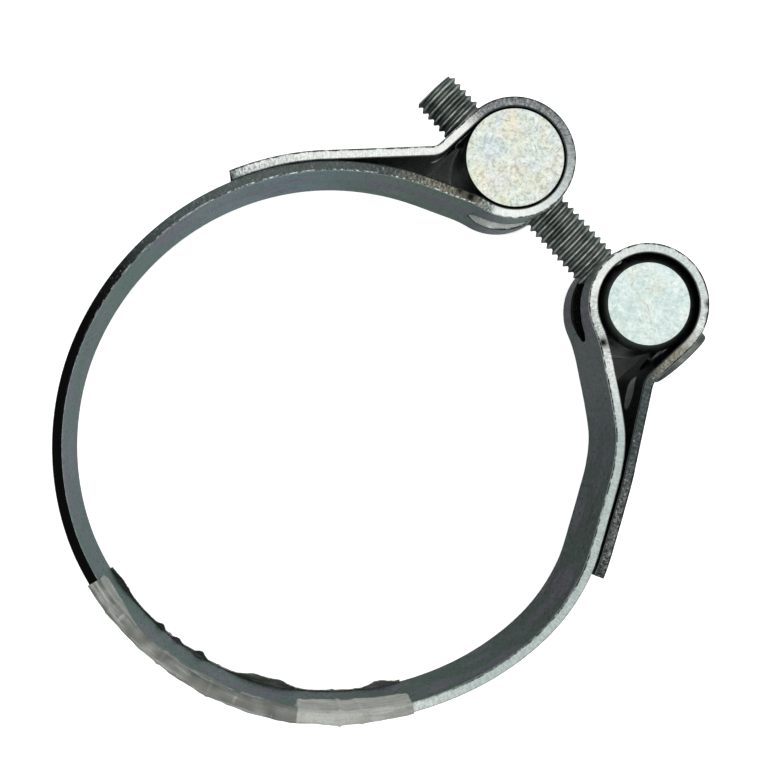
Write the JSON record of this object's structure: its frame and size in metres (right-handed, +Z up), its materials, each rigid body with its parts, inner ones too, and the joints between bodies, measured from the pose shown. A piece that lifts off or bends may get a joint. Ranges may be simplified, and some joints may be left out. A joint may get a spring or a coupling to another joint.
{
  "type": "pipe repair clamp",
  "caption": "Heavy-duty steel pipe clamp: a strip bent to a ring whose looped ends are drawn together by one bolt through two cross bars.",
  "frame": {"origin": "on the ring's axis, in the plane of the strip's lower edge, on which the clamp lies", "axes": "+Z up along the ring's axis; +X towards the side with the plain cross bar, +Y towards the side with the threaded cross bar; the bolt's axis lies in a plane of constant Z"},
  "size_m": [0.0808, 0.0796, 0.0206],
  "materials": {
    "strip": "zinc-plated rolled strip, satin, with grey-green and faint violet tints and sheared edges",
    "threaded_bar": "sawn bar end, bright zinc with faint turning marks and yellow and blue tints",
    "plain_bar": "sawn bar end, bright zinc, mottled, with a dark turned chamfer",
    "bolt": "dark zinc-plated thread, slightly oily",
    "label": "off-white paper sticker, creased and torn along its folded edges"
  },
  "bodies": {
    "right_half": {"band_right": "strip", "label_right": "label"},
    "left_half": {"band_left": "strip", "label_left": "label"},
    "plain_bar": {"plain_trunnion": "plain_bar"},
    "threaded_bar": {"threaded_trunnion": "threaded_bar"},
    "bolt": {"clamp_bolt": "bolt"}
  },
  "joints": [
    {"name": "bolt_spin", "type": "hinge", "parent": "plain_bar", "child": "bolt", "pos_m": [0.0374, 0.0168, 0.01], "axis": [-0.6784, 0.7347, 0], "range_deg": [-1800, 2880]},
    {"name": "band_flex", "type": "hinge", "parent": "right_half", "child": "left_half", "pos_m": [-0.02365, -0.02326, 0.01], "axis": [0, 0, -1], "range_deg": [-4, 6.4]},
    {"name": "plain_bar_swivel", "type": "hinge", "parent": "right_half", "child": "plain_bar", "pos_m": [0.0374, 0.0168, 0.01], "axis": [0, 0, -1], "range_deg": [-2, 3.2]},
    {"name": "threaded_bar_swivel", "type": "hinge", "parent": "left_half", "child": "threaded_bar", "pos_m": [0.02115, 0.0344, 0.01], "axis": [0, 0, 1], "range_deg": [-2, 3.2]}
  ],
  "couplings": [
    {"joint": "band_flex", "follows": "bolt_spin", "ratio": 0.0022097},
    {"joint": "plain_bar_swivel", "follows": "bolt_spin", "ratio": 0.0011049},
    {"joint": "threaded_bar_swivel", "follows": "bolt_spin", "ratio": 0.0011049}
  ]
}
